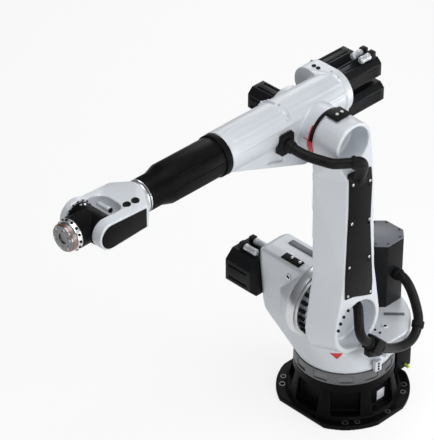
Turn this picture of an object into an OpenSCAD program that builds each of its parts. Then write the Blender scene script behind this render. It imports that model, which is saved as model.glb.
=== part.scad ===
// Six-axis industrial robot arm, floor mounted.
// Origin: centre of the base on the floor. +X: the way the forearm points. +Z: up.
// +Y: the side on which the lower arm stands.

/* [Base] */
// Ledge of the base plate beyond the cone's foot at the flats
base_ledge = 16; // [8:1:24]
// Thickness of the base plate
base_plate_t = 26; // [20:1:32]
// Radius of the base's body at the bottom of its pockets
base_drum_r = 232; // [215:1:240]
// Radius of the base's cone at its foot
base_foot_r = 292; // [280:1:300]
// Radius of the base's top flange
base_top_r = 258; // [250:1:262]
// Height of the base's top face, where axis 1 turns
base_h = 222; // [200:1:240]
// Width of the pockets in the base's sides
pocket_w = 150; // [130:1:160]
// Radius of the anchor holes
anchor_r = 11; // [9:0.5:13]
// Radius of the levelling screw holes
level_r = 9; // [7:0.5:10]
// Distance of the anchor holes' bolt circle from the cone's foot
anchor_out = 18; // [15:1:21]
// Edge of the base plate outside the bolt circle
anchor_edge = 34; // [26:1:40]
// Angle between each anchor hole and the levelling hole beside it
anchor_split = 11.5; // [10:0.5:13]

/* [Turntable] */
// Radius of the slewing ring
slew_r = 258; // [250:1:264]
// Height of the slewing ring
slew_h = 66; // [56:1:76]
// Radius of the turntable dome at its foot
dome_r = 252; // [240:1:256]
// Height of the dome above the slewing ring
dome_h = 100; // [80:1:120]
// Radius of the rear platform
platform_r = 330; // [310:1:345]
// Height of the platform's top face above the floor
platform_z = 472; // [460:1:490]
// Thickness of the rear platform
platform_t = 90; // [70:1:100]

/* [Axes] */
// Forward offset of axis 2 from axis 1
axis2_x = 286; // [270:1:300]
// Height of axis 2
axis2_z = 746; // [730:1:760]
// Height of axis 3 above axis 2
axis3_up = 1059; // [1040:1:1080]
// Forward offset of axis 3 from axis 2
axis3_fwd = 70; // [50:1:90]
// Height of the forearm's centre line above axis 3
forearm_up = 58; // [50:1:66]
// Distance of axis 5 in front of axis 3
axis5_fwd = 1324; // [1300:1:1350]
// Distance of the tool face in front of axis 5
tool_fwd = 164; // [156:1:170]
// Gap between the two faces of a turning joint
joint_gap = 0.3; // [0.2:0.1:0.5]

/* [Tower] */
// Radius of the axis 2 gear housing
gear_r = 190; // [182:1:196]
// Side position of the gear's output face
gear_face_y = 98; // [92:1:100]
// Thickness of the axis 2 gear
gear_t = 62; // [52:1:70]
// Side position of the tower's motor face
tower_back_y = -288; // [-300:1:-270]
// Distance of the tower's front face in front of axis 2
tower_fwd = 62; // [50:1:74]
// Height of the tower's top above axis 2
tower_up = 184; // [176:1:192]
// Size of the axis 2 motor across its flats
motor2_w = 216; // [200:1:224]
// Length of the axis 2 motor
motor2_l = 172; // [150:1:200]
// Drop of the axis 2 motor below axis 2
motor2_drop = 24; // [14:1:34]
// Size of the axis 1 motor housing across its flats
motor1_w = 204; // [190:1:208]
// Height of the axis 1 motor housing
motor1_h = 372; // [340:1:390]
// Distance of the axis 1 motor behind axis 1
motor1_back = 246; // [236:1:256]

/* [Lower arm] */
// Side position of the lower arm's inner face
arm_in_y = 174; // [173:1:182]
// Side position of the lower arm's outer face
arm_out_y = 335; // [325:1:345]
// Radius of the lower hub
hub2_r = 156; // [150:1:162]
// Radius of the lower hub at its inner face
hub2_in_r = 200; // [192:1:206]
// Radius of the upper hub at the joint face
hub3_r = 124; // [118:1:128]
// Radius of the upper hub at its outer rim
hub3_rim_r = 118; // [112:1:122]
// Radius of the hub's open recess
hub3_bore_r = 98; // [90:1:102]
// Depth of the hub's open recess
hub3_bore_depth = 110; // [80:1:120]
// Thickness of the lower arm's cover
cover_t = 7; // [5:0.5:9]

/* [Upper arm] */
// Radius of the upper arm's tube
tube_r = 105; // [100:1:107]
// Distance of the tube's front end in front of axis 3
tube_fwd = 548; // [530:1:560]
// Distance of the motor flange behind axis 3
flange_back = 236; // [225:1:250]
// Half thickness of the upper arm's web
web_half = 84; // [76:1:90]
// Radius of the axis 3 boss
boss_r = 121; // [116:1:126]
// Side position of the axis 3 joint face
joint3_y = 188; // [182:1:194]
// Radius of the forearm tube
forearm_r = 97; // [92:1:99]
// Length of the straight part of the forearm tube
forearm_l = 340; // [320:1:360]
// Length of the forearm's shoulder cone
forearm_cone_l = 56; // [40:1:70]
// Length of the forearm's neck
forearm_neck_l = 80; // [60:1:90]
// Radius of the forearm's neck
forearm_end_r = 80; // [76:1:82]
// Size of the axis 3 motor across its flats
motor3_w = 130; // [110:1:150]
// Length of the axis 3 motor
motor3_l = 172; // [150:1:190]
// Size of each rear motor across its flats
rear_motor_w = 114; // [100:1:118]

/* [Wrist] */
// Radius of the wrist flange that axis 4 turns
wrist_r = 80; // [76:1:82]
// Inner side of the fork's cheeks
fork_in = 80; // [79:1:84]
// Outer side of the near cheek
fork_out = 137; // [130:1:142]
// Outer side of the far cheek
fork_far = 114; // [108:1:122]
// Radius of the fork cheek's round end
cheek_r = 68; // [64:1:72]
// Distance of the fork's throat behind axis 5
throat_back = 136; // [134:1:145]
// Radius of the wrist body about axis 5
wrist_body_r = 70; // [66:1:72]
// Radius of the tool flange
tool_r = 62; // [58:1:64]
// Bolt circle diameter of the tool flange
tool_pcd = 80; // [76:1:90]
// Radius of the tool flange's bolt holes
tool_hole_r = 3.4; // [3:0.1:5]
// Radius of the tool flange's centring bore
tool_pilot_r = 25; // [20:1:30]

/* [Hoses] */
// Outer radius of the hose package
hose_r = 25; // [22:1:27]

/* [Hidden] */
$fn = 96;
// Facets of round pieces inside a blended shape
blend_fn = 40;
axis3_x = axis2_x + axis3_fwd;
axis3_z = axis2_z + axis3_up;
forearm_z = axis3_z + forearm_up;
axis5_x = axis3_x + axis5_fwd;
tool_x = axis5_x + tool_fwd;
tube_x = axis3_x + tube_fwd;
flange_x = axis3_x - flange_back;
shoulder_x = tube_x + forearm_l;
neck_x = shoulder_x + forearm_cone_l;
wrist_x = neck_x + forearm_neck_l;
// Height of the rib round the tube, and the seat of the axis 3 motor beside it
cross_rib = 8;
motor3_y = tube_r + cross_rib + 2;
// Length of the bright ring, and the rear end and half height of the fork's cheeks
wrist_ring_l = 22;
cheek_x = wrist_x + 86;
cheek_h = 58;
// Lengths of the hand's parts along the tool axis
band_l = 24;
flange_l = 30;
band_x = tool_x - flange_l - band_l;
base_rim_h = 34;
// Base plate: half width between its flats, bolt circle diameter and radius of its corners
base_flat = base_foot_r + base_ledge;
base_side = base_flat + 22;
anchor_pcd = 2 * (base_foot_r + anchor_out);
base_corner_r = anchor_pcd / 2 + anchor_edge;
slew_z = base_h + joint_gap;
dome_z = slew_z + slew_h;
gear_back_y = gear_face_y - gear_t;
// Front of the tower, and the foot and head of its flat hatch face in X and Z
tower_x = axis2_x + tower_fwd;
hatch_foot = [tower_x - 12, axis2_z + tower_up - 6];
hatch_head = [tower_x - 60, axis2_z + tower_up];
hatch_l = norm(hatch_head - hatch_foot);
hatch_tilt = atan2(hatch_head[1] - hatch_foot[1], hatch_foot[0] - hatch_head[0]);
// Tower: radius of its front corner, rounding of its far end, heights of its foot and its flat top,
// and the length of its flare behind the gear
corner_r = 34;
tower_round = 36;
tower_foot_z = axis2_z - 193;
tower_top_z = axis2_z + tower_up;
flare_l = 160;
// Start of the wrist's fork
fork_x = wrist_x + wrist_ring_l;
// Room that the hatch and the top plate leave before the gear
hatch_room = 54;
motor2_z = axis2_z - motor2_drop;
platform_x = 35;
// Connector box behind the base: reach from axis 1, width and height
box_x = base_flat + 64;
box_w = 260;
box_h = 150;
// Taper of the upper hub, in degrees
hub3_taper = atan2(hub3_r - hub3_rim_r, arm_out_y - joint3_y);
// Side position of the upper hub's inner face
hub3_in_y = joint3_y + joint_gap;
// Neck between the axis 2 gear and the lower hub, and the width of the hub's outer rim
hub2_neck_r = 146;
hub2_rim = 26;
// Radius of the room round the axis 3 boss
boss_room_r = boss_r + 12;
// Lower arm's blade: X of its back and front edge at the outer and the inner face, at its foot and its top
blade_foot_out = [axis2_x - 106, axis2_x + 106];
blade_foot_in = [axis2_x - 170, axis2_x + 158];
blade_top_out = [axis3_x - 142, axis3_x + 32];
blade_top_in = [axis3_x - 184, axis3_x + 105];
blade_top_z = axis3_z - 190;
blade_foot_z = axis2_z + 300;
// Corner cut of the motors' octagon, as a part of the width
motor_cut = 0.22;

// Routes of the hoses' centre lines
upper_route = [[578, 118, 1822], [574, 160, 1812], [561, 207, 1799], [543, 252, 1790], [524, 297, 1786],
    [506, 343, 1785], [470, 370, 1782], [437, 396, 1782]];
elbow_route = [[436.67, 396.26, 1782], [413.9, 414.2, 1782], [395, 418, 1770], [381, 412, 1744],
    [373, 399, 1708], [369, 386, 1668]];
elbow_foot = elbow_route[len(elbow_route) - 1];
lower_route = [[262, 245.3, 845], [262, 285, 845], [275, 322, 840], [300, 352, 822], [326, 380, 800],
    [338, 398, 765], [324, 406, 720], [284, 407, 675], [238, 405, 635]];
turntable_route = [[237.54, 404.98, 634.6], [192, 403, 595], [138, 390, 550], [78, 376, 508], [16, 366, 474],
    [-52, 360, 452], [-118, 345, 444], [-176, 322, 456], [-216, 296, 492], [-234, 264, 538],
    [-244, 230, 586], [-248, 194, 630], [-250, 152, 656], [-250, 102, 656]];

function unit(v) = v / norm(v);
function tangent(p, i) = unit(p[min(i + 1, len(p) - 1)] - p[max(i - 1, 0)]);
// Sideways direction at route point i, carried along from the start so that the tube doesn't twist
function sideways(p, i) =
    let (t = tangent(p, i), s = i == 0 ? cross(t, [0.35, 0.2, 1]) : sideways(p, i - 1))
    unit(s - (s * t) * t);
// Point k of n on the ring of radius r about route point i
function ring_point(p, i, k, n, r) =
    let (s = sideways(p, i), u = cross(s, tangent(p, i)))
    p[i] + r * (cos(360 * k / n) * s + sin(360 * k / n) * u);

// Round tube of radius r swept along route p
module sweep(p, r) {
    n = 12;
    last = len(p) - 1;
    points = [for (i = [0 : last]) for (k = [0 : n - 1]) ring_point(p, i, k, n, r)];
    sides = [for (i = [0 : last - 1]) for (k = [0 : n - 1])
        [i * n + k, i * n + (k + 1) % n, (i + 1) * n + (k + 1) % n, (i + 1) * n + k]];
    caps = [[for (k = [n - 1 : -1 : 0]) k], [for (k = [0 : n - 1]) last * n + k]];
    polyhedron(points, concat(sides, caps), convexity = 6);
}

// Cylinder along Y from y0 to y1, radius r0 at y0 and r1 at y1
module along_y(x, z, y0, y1, r0, r1) {
    translate([x, y0, z])
        rotate([-90, 0, 0])
            cylinder(h = y1 - y0, r1 = r0, r2 = r1);
}

// Cylinder along X from x0 to x1, radius r0 at x0 and r1 at x1
module along_x(y, z, x0, x1, r0, r1) {
    translate([x0, y, z])
        rotate([0, 90, 0])
            cylinder(h = x1 - x0, r1 = r0, r2 = r1);
}

// Outline in X and Z, extruded along Y from y0 to y1
module slab_y(y0, y1) {
    translate([0, y1, 0])
        rotate([90, 0, 0])
            linear_extrude(y1 - y0)
                children();
}

// Square of width w with its corners cut
module octagon(w) {
    h = w / 2;
    c = w * motor_cut;
    polygon([[h, h - c], [h - c, h], [c - h, h], [-h, h - c],
        [-h, c - h], [c - h, -h], [h - c, -h], [h, c - h]]);
}

// Motor body along +Z from its flange: octagonal housing with cooling grooves
module motor(w, l, groove) {
    difference() {
        linear_extrude(l)
            octagon(w);
        for (a = [0 : 90 : 270])
            rotate([0, 0, a])
                for (s = [-1, 1])
                    translate([w / 2 - groove, s * w * 0.16 - groove, l * 0.14])
                        cube([2 * groove, 2 * groove, l * 0.72]);
    }
}

// Two plugs side by side along X on a plane facing +Z, with their cable ends towards +Y
module plug_pair(pitch, l) {
    socket = 32;
    for (s = [-0.5, 0.5])
        translate([s * pitch, 0, 0]) {
            translate([-socket / 2, -socket / 2, 0])
                cube([socket, socket, 44]);
            translate([0, l, 24])
                rotate([90, 0, 0])
                    cylinder(h = l, r = 15);
        }
}

module base_casting() {
    wall = 40;
    color("#141416")
    difference() {
        union() {
            intersection() {
                cylinder(h = base_plate_t, r = base_corner_r);
                translate([-base_flat, -base_side, 0])
                    cube([2 * base_flat, 2 * base_side, base_plate_t]);
            }
            translate([0, 0, base_plate_t])
                cylinder(h = base_h - base_rim_h - base_plate_t, r1 = base_foot_r, r2 = base_top_r);
            translate([0, 0, base_h - base_rim_h])
                cylinder(h = base_rim_h, r = base_top_r);
        }
        translate([0, 0, -1])
            cylinder(h = base_h - 20, r = base_drum_r - wall);
        base_pockets();
        anchor_holes();
    }
}

// Pockets in the sides of the base's cone, which leave broad ribs between them
module base_pockets() {
    for (a = [0 : 45 : 315])
        rotate([0, 0, a])
            translate([base_drum_r, -pocket_w / 2, base_plate_t + 14])
                cube([base_foot_r - base_drum_r + 5, pocket_w, base_h - base_rim_h - base_plate_t - 28]);
}

module anchor_holes() {
    for (a = [45 : 90 : 315])
        rotate([0, 0, a])
            translate([anchor_pcd / 2, 0, -1])
                cylinder(h = base_plate_t + 2, r = anchor_r);
    turn = 45 - anchor_split;
    for (a = [90, 270], s = [-1, 0, 1])
        rotate([0, 0, a + s * turn])
            translate([anchor_pcd / 2, 0, -1])
                cylinder(h = base_plate_t + 2, r = level_r);
}

module connector_box() {
    color("#18181a")
    difference() {
        translate([-box_x, -box_w / 2, base_plate_t])
            cube([box_x - base_top_r, box_w, box_h]);
        cylinder(h = base_h, r = base_foot_r + 1);
        for (s = [-1, 0, 1])
            translate([-box_x - 1, s * box_w / 3 - 26, base_plate_t + 40])
                cube([9, 52, 70]);
    }
}

module earth_stud() {
    color("#b9c02a")
    translate([-base_flat - 20, box_w / 2, base_plate_t + 16])
        rotate([-90, 0, 0])
            cylinder(h = 26, r = 9);
}

module slew_ring() {
    color("#8d8f90")
    translate([0, 0, slew_z])
        difference() {
            cylinder(h = slew_h, r = slew_r);
            for (a = [15 : 30 : 345])
                rotate([0, 0, a])
                    translate([slew_r - 8, -38, 12])
                        cube([20, 76, slew_h - 24]);
        }
}

module turntable_casting() {
    color("#c9ced4")
    difference() {
        turntable_body();
        along_y(axis2_x, axis2_z, gear_back_y, gear_face_y + 60, gear_r + joint_gap, gear_r + joint_gap);
    }
}

module turntable_body() {
    union() {
        dome();
        rear_platform();
        hull() {
            translate([0, 0, dome_z])
                cylinder(h = 20, r = dome_r, $fn = blend_fn);
            translate([axis2_x - 240, tower_back_y + tower_round, tower_foot_z - 1])
                cube([tower_fwd + 214, gear_back_y - tower_back_y - tower_round, 16]);
        }
        tower();
    }
}

module rear_platform() {
    translate([0, 0, platform_z - platform_t])
        intersection() {
            cylinder(h = platform_t, r = platform_r);
            translate([platform_x - 2 * platform_r, -platform_r * 0.75, 0])
                cube([2 * platform_r, platform_r * 1.7, platform_t]);
        }
    translate([-motor1_back, 0, platform_z - 60])
        linear_extrude(60)
            octagon(motor1_w);
}

// Gear tower along Y, rounded at its far end and flaring out to the gear at its near end
module tower() {
    slab_y(tower_back_y + tower_round, gear_back_y)
        tower_side();
    hull() {
        slab_y(tower_back_y, tower_back_y + 1)
            offset(delta = -0.7 * tower_round)
                tower_side();
        slab_y(tower_back_y + tower_round, tower_back_y + tower_round + 1)
            tower_side();
    }
    hull() {
        along_y(axis2_x, axis2_z, gear_back_y - 4, gear_back_y, gear_r, gear_r, $fn = blend_fn);
        translate([axis2_x, gear_back_y - flare_l, axis2_z - 140])
            cube([tower_fwd, 4, 140]);
    }
}

// Side outline of the tower: a sloping front, a round corner and a flat top
module tower_side() {
    polygon(concat(
        [[tower_x - 26, tower_foot_z], [tower_x, axis2_z + 60]],
        [for (a = [0 : 10 : 50]) hatch_foot + corner_r * [cos(a) - cos(50), sin(a) - sin(50)]],
        [hatch_head, [axis2_x - 120, tower_top_z], [axis2_x - 200, tower_top_z - 80],
            [axis2_x - 240, tower_foot_z]]));
}

module axis1_motor() {
    color("#131315")
    translate([-motor1_back, 0, platform_z])
        linear_extrude(motor1_h)
            octagon(motor1_w);
}

module axis1_motor_lid() {
    color("#3b3d44")
    translate([-motor1_back, 0, platform_z + motor1_h])
        linear_extrude(6)
            octagon(motor1_w);
}

module axis2_motor() {
    color("#131315")
    translate([axis2_x, tower_back_y, motor2_z])
        rotate([90, 0, 0])
            motor(motor2_w, motor2_l, 6);
}

module axis2_motor_plugs() {
    color("#d8dadd")
    translate([axis2_x, tower_back_y - 120, motor2_z + motor2_w / 2])
        plug_pair(70, 100);
}

module axis2_gear() {
    step = 12;
    color("#b7bbbf") {
        along_y(axis2_x, axis2_z, gear_back_y, gear_face_y - step, gear_r, gear_r);
        along_y(axis2_x, axis2_z, gear_face_y - step, gear_face_y, gear_r - 14, gear_r - 14);
    }
}

// Black hatch on the tower's flat face
module tower_hatch() {
    margin = 2;
    hatch_back = 150;
    color("#141416")
    translate([hatch_foot[0], tower_back_y + hatch_back, hatch_foot[1]])
        rotate([0, hatch_tilt, 0])
            translate([margin - hatch_l, 0, 0])
                cube([hatch_l - 2 * margin, gear_back_y - hatch_room - tower_back_y - hatch_back, 5]);
}

module tower_top_plate() {
    plate_back = 98;
    color("#6a6d72")
    translate([axis2_x - 94, tower_back_y + plate_back, tower_top_z + joint_gap])
        cube([36, gear_back_y - hatch_room - tower_back_y - plate_back, 5]);
}

// Clamp that holds the hose beside the turntable, on an arm from the platform's front side
module turntable_clamp() {
    clamp_w = 76;
    clamp_clear = 0.8;
    color("#131315")
    difference() {
        union() {
            translate(turntable_route[0])
                rotate([0, -41, 0])
                    cube([64, clamp_w, clamp_w], center = true);
            hull() {
                translate(turntable_route[0] + [24, -10, -37])
                    cube(34, center = true);
                translate([platform_x, 225, platform_z - platform_t + 12])
                    cube([20, 60, 60]);
            }
        }
        sweep(lower_route, hose_r + clamp_clear);
        sweep(turntable_route, hose_r + clamp_clear);
        sweep([lower_route[len(lower_route) - 2], turntable_route[1]], hose_r + clamp_clear);
    }
}

// Block with tapped holes on the dome's side
module stop_block() {
    color("#e6e8ea")
    rotate([0, 0, 81])
        translate([dome_r + 0.3, -20, dome_z])
            cube([24, 40, 60]);
}

// Conical dome above the slewing ring
module dome() {
    translate([0, 0, dome_z])
        cylinder(h = dome_h, r1 = dome_r, r2 = dome_r - 40);
}

module turntable_hose() {
    color("#111113")
    sweep(turntable_route, hose_r);
}

module lower_arm_casting() {
    color("#c3c7cb")
    difference() {
        union() {
            hull() {
                along_y(axis3_x, axis3_z, hub3_in_y, arm_out_y, hub3_r, hub3_rim_r, $fn = blend_fn);
                blade_top();
            }
            hull() {
                blade_top();
                blade_foot();
            }
            hull() {
                blade_foot();
                along_y(axis2_x, axis2_z, arm_in_y, arm_out_y, hub2_in_r, hub2_r, $fn = blend_fn);
            }
            along_y(axis2_x, axis2_z, gear_face_y + joint_gap, arm_in_y + 20, hub2_neck_r, hub2_neck_r);
        }
        along_y(axis3_x, axis3_z, arm_out_y - hub3_bore_depth, arm_out_y + 1, hub3_bore_r, hub3_bore_r);
        along_y(axis2_x, axis2_z, arm_out_y - 90, arm_out_y + 1, hub2_r - hub2_rim, hub2_r - hub2_rim);
        along_y(axis3_x, axis3_z, arm_in_y - 1, joint3_y + joint_gap, boss_room_r, boss_room_r);
    }
}

module blade_top() {
    blade(blade_top_z, blade_top_out, blade_top_in);
}

module blade_foot() {
    blade(blade_foot_z, blade_foot_out, blade_foot_in);
}

// Cross section of the lower arm's blade at height z: narrower at its outer face
module blade(z, outer, inner) {
    translate([0, 0, z])
        linear_extrude(1)
            polygon([[outer[0], arm_out_y], [inner[0], arm_in_y],
                [inner[1], arm_in_y], [outer[1], arm_out_y]]);
}

module lower_arm_cover() {
    foot = [axis2_x, axis2_z];
    head = [axis3_x, axis3_z];
    color("#121214")
    slab_y(arm_out_y, arm_out_y + cover_t)
        polygon([foot + [-88, 138], foot + [-32, 158], foot + [42, 188], foot + [98, 198], foot + [102, 323],
            head + [24, -345], head + [28, -165], head + [-120, -165], head + [-130, -245],
            head + [-128, -483], foot + [-90, 222]]);
}

// Bent pipe that carries the upper hose down to the lower arm's face
module hose_elbow() {
    color("#131315") {
        sweep(elbow_route, hose_r + 4);
        translate([elbow_foot[0] - 29, arm_out_y, elbow_foot[2] - 26])
            cube([58, elbow_foot[1] + 27 - arm_out_y, 28]);
    }
}

module axis3_stop() {
    color("#131315")
    translate([axis3_x - 45, joint3_y + 8, axis3_z + hub3_r - 8 * tan(hub3_taper) + 0.2])
        rotate([-hub3_taper, 0, 0])
            cube([90, 70, 14]);
}

module lower_hose() {
    color("#111113")
    sweep(lower_route, hose_r);
}

module upper_arm_casting() {
    color("#d7dbe1") {
        along_x(0, forearm_z, flange_x, tube_x, tube_r, tube_r);
        hull() {
            along_x(0, forearm_z, flange_x, flange_x + 40, tube_r + 6, tube_r + 6, $fn = blend_fn);
            along_x(-100, forearm_z + 32, flange_x, flange_x + 100, 80, 80, $fn = blend_fn);
        }
        cross_band();
        tube_ribs();
        web();
        along_y(axis3_x, axis3_z, -motor3_y, joint3_y, boss_r, boss_r);
    }
}

// Raised band across the top of the tube, with a lug at each end
module cross_band() {
    band_x = axis3_x + 181;
    half = 6;
    foot = 66;
    intersection() {
        along_x(0, forearm_z, band_x - half, band_x + half, tube_r + cross_rib, tube_r + cross_rib);
        translate([band_x - 2 * half, -tube_r - 2 * cross_rib, forearm_z + foot])
            cube([4 * half, 2 * tube_r + 4 * cross_rib, 2 * tube_r]);
    }
    for (a = [42, 138])
        translate([band_x - 14, 0, forearm_z])
            rotate([a, 0, 0])
                translate([0, tube_r - 12, -16])
                    cube([28, 12 + cross_rib, 32]);
}

// Long shallow ribs on the side of the tube
module tube_ribs() {
    rib = [tube_fwd + flange_back - 60, 14, 12];
    for (a = [20, 52, 84])
        translate([flange_x + 20, 0, forearm_z])
            rotate([a, 0, 0])
                translate([0, tube_r - rib[1] + 3, -rib[2] / 2])
                    cube(rib);
}

// Deep web below the tube, with a three-cornered pocket in its near side
module web() {
    pocket = 12;
    difference() {
        slab_y(-web_half, web_half)
            polygon([[tube_x, forearm_z - 62], [tube_x, forearm_z], [flange_x, forearm_z],
                [flange_x, axis3_z - 120], [axis3_x - 100, axis3_z - 190],
                [axis3_x + 60, axis3_z - 190]]);
        slab_y(web_half - pocket, web_half + 1)
            polygon([[axis3_x + 200, axis3_z - 105], [axis3_x + 330, axis3_z - 70],
                [axis3_x + 215, axis3_z - 60]]);
    }
}

module forearm_tube() {
    color("#161618") {
        along_x(0, forearm_z, tube_x, shoulder_x, forearm_r, forearm_r);
        along_x(0, forearm_z, shoulder_x, neck_x, forearm_r, forearm_end_r);
        along_x(0, forearm_z, neck_x, wrist_x, forearm_end_r, forearm_end_r);
        forearm_ribs();
    }
}

// Two sharp cast edges along the forearm's near side, each as [angle, start, length]
module forearm_ribs() {
    rib_w = 5;
    root = 14;
    for (e = [[8, 40, forearm_l - 60], [42, forearm_l * 0.55, forearm_l * 0.38]])
        translate([tube_x + e[1], 0, forearm_z])
            rotate([e[0], 0, 0])
                translate([0, forearm_r - root + 2.5, -rib_w / 2])
                    cube([e[2], root, rib_w]);
}

module forearm_collar() {
    color("#0f0f11")
    difference() {
        along_x(0, forearm_z, tube_x, tube_x + 34, forearm_r + 6, forearm_r + 6);
        along_x(0, forearm_z, tube_x - 1, tube_x + 35, forearm_r + 0.2, forearm_r + 0.2);
    }
}

module axis3_motor() {
    color("#131315")
    translate([axis3_x, -motor3_y, axis3_z])
        rotate([90, 0, 0])
            motor(motor3_w, motor3_l, 5);
}

// One of the three motors behind the upper arm, at y and at height z above the forearm's centre line
module rear_motor(y, z, l) {
    translate([flange_x, y, forearm_z + z])
        rotate([0, -90, 0])
            motor(rear_motor_w, l, 4);
}

module axis4_motor() {
    color("#131315")
    rear_motor(-112, 32, 200);
}

module axis5_motor() {
    color("#131315")
    rear_motor(8, 34, 240);
}

module axis6_motor() {
    color("#131315")
    rear_motor(22, -98, 250);
}

module rear_motor_plugs() {
    color("#d8dadd")
    translate([flange_x - 200, 8, forearm_z + 34 + rear_motor_w / 2])
        rotate([0, 0, -90])
            plug_pair(50, 80);
}

// Clamp that holds the hose beside the upper arm's tube
module hose_bracket() {
    color("#131315")
    difference() {
        translate([536, 0, forearm_z - 92])
            cube([78, 128, 100]);
        along_x(0, forearm_z, flange_x, tube_x, tube_r + 0.2, tube_r + 0.2);
        translate([500, -web_half - 1, forearm_z - 140])
            cube([150, 2 * web_half + 1, 200]);
        sweep(upper_route, hose_r + 0.3);
    }
}

module axis3_seal() {
    color("#101012")
    difference() {
        along_y(axis3_x, axis3_z, joint3_y - 22, joint3_y - 2, boss_r + 5, boss_r + 5);
        along_y(axis3_x, axis3_z, joint3_y - 23, joint3_y - 1, boss_r + 0.2, boss_r + 0.2);
        mark_window(0.3);
    }
}

// Front of the boss where the zero mark interrupts the seal
module mark_window(room) {
    translate([axis3_x, joint3_y - 40, axis3_z - 62 - room])
        cube([2 * boss_r, 60, 72 + 2 * room]);
}

// Red zero mark of axis 3, a short arc on the boss
module axis3_mark() {
    color("#d02020")
    intersection() {
        difference() {
            along_y(axis3_x, axis3_z, joint3_y - 34, joint3_y - 2, boss_r + 4, boss_r + 4);
            along_y(axis3_x, axis3_z, joint3_y - 35, joint3_y - 1, boss_r + 0.2, boss_r + 0.2);
        }
        mark_window(0);
    }
}

module upper_hose() {
    color("#111113")
    sweep(upper_route, hose_r);
}

module wrist_ring() {
    color("#d9dcdf")
    along_x(0, forearm_z, wrist_x + joint_gap, wrist_x + wrist_ring_l, wrist_r, wrist_r);
}

module wrist_fork() {
    throat_x = axis5_x - throat_back;
    far_rim = 12;
    color("#dfe3e8") {
        hull() {
            along_x(0, forearm_z, fork_x, fork_x + 6, wrist_r, wrist_r, $fn = blend_fn);
            translate([cheek_x, -fork_far, forearm_z - cheek_h])
                cube([throat_x - cheek_x, fork_far + fork_out, 2 * cheek_h]);
        }
        slab_y(fork_in, fork_out)
            cheek(0);
        slab_y(-fork_far, -fork_in)
            cheek(0);
        for (s = [-1, 1])
            throat_corner(throat_x, s);
        along_y(axis5_x, forearm_z, -fork_far, -fork_in, cheek_r + far_rim, cheek_r + far_rim);
    }
}

// Rounding between the fork's throat and one cheek
module throat_corner(throat_x, side) {
    round_r = 54;
    translate([throat_x, side * fork_in, forearm_z - cheek_h])
        difference() {
            translate([0, side > 0 ? -round_r : 0, 0])
                cube([round_r, round_r, 2 * cheek_h]);
            translate([round_r, -side * round_r, -1])
                cylinder(h = 2 * cheek_h + 2, r = round_r);
        }
}

// Side outline of a fork cheek, drawn in from its edge by inset
module cheek(inset) {
    h = cheek_h - inset;
    r = cheek_r - inset;
    translate([axis5_x, forearm_z])
        circle(r);
    polygon([[axis5_x, forearm_z - r], [axis5_x, forearm_z + r],
        [cheek_x + inset, forearm_z + h], [cheek_x + inset, forearm_z - h]]);
}

module fork_cover() {
    color("#141416")
    slab_y(fork_out, fork_out + 4)
        cheek(10);
}

module far_cheek_cap() {
    color("#dfe3e8")
    along_y(axis5_x, forearm_z, -fork_far - 8, -fork_far, cheek_r - 14, cheek_r - 10);
}

module wrist_body() {
    color("#141416") {
        along_y(axis5_x, forearm_z, -fork_in + joint_gap, fork_in - joint_gap, wrist_body_r, wrist_body_r);
        along_x(0, forearm_z, axis5_x, band_x, wrist_body_r + 4, wrist_body_r + 4);
    }
}

module wrist_band() {
    color("#b9bdc1")
    along_x(0, forearm_z, band_x, band_x + band_l, wrist_body_r + 4, wrist_body_r);
}

module tool_flange() {
    color("#c5c8cb")
    difference() {
        along_x(0, forearm_z, band_x + band_l + joint_gap, tool_x, tool_r + 6, tool_r);
        along_x(0, forearm_z, tool_x - 8, tool_x + 1, tool_pilot_r, tool_pilot_r);
        for (a = [0 : 60 : 300])
            translate([tool_x - 16, 0, forearm_z])
                rotate([a, 0, 0])
                    translate([0, 0, tool_pcd / 2])
                        rotate([0, 90, 0])
                            cylinder(h = 17, r = tool_hole_r);
    }
}

base_casting();
connector_box();
earth_stud();
slew_ring();
turntable_casting();
axis1_motor();
axis1_motor_lid();
axis2_motor();
axis2_motor_plugs();
axis2_gear();
tower_hatch();
tower_top_plate();
turntable_clamp();
stop_block();
turntable_hose();
lower_arm_casting();
lower_arm_cover();
hose_elbow();
axis3_stop();
lower_hose();
upper_arm_casting();
forearm_tube();
forearm_collar();
axis3_motor();
axis4_motor();
axis5_motor();
axis6_motor();
rear_motor_plugs();
hose_bracket();
axis3_seal();
axis3_mark();
upper_hose();
wrist_ring();
wrist_fork();
fork_cover();
far_cheek_cap();
wrist_body();
wrist_band();
tool_flange();
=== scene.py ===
"""Looks of a six-axis industrial robot arm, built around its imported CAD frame."""

import math

import bmesh
import bpy
from bpy.props import FloatProperty, FloatVectorProperty, IntProperty, PointerProperty
from mathutils import Matrix, Vector


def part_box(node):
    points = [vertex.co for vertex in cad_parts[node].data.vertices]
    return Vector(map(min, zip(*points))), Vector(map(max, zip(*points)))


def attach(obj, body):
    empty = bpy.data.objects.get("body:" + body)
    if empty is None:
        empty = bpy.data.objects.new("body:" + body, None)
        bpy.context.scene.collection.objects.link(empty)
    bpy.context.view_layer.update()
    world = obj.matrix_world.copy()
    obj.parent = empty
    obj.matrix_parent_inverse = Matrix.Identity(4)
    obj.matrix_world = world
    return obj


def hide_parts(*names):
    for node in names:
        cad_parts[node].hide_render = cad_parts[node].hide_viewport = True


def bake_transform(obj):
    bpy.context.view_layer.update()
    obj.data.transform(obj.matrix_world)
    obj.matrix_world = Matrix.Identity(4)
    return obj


bl_info = {
    "name": "Six-axis robot arm",
    "version": (1, 0, 0),
    "blender": (4, 5, 0),
    "location": "View3D > Sidebar > Robot Arm",
    "description": "Castings, motors, hoses, screws and finishes of an industrial robot arm",
    "category": "Object",
}

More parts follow.
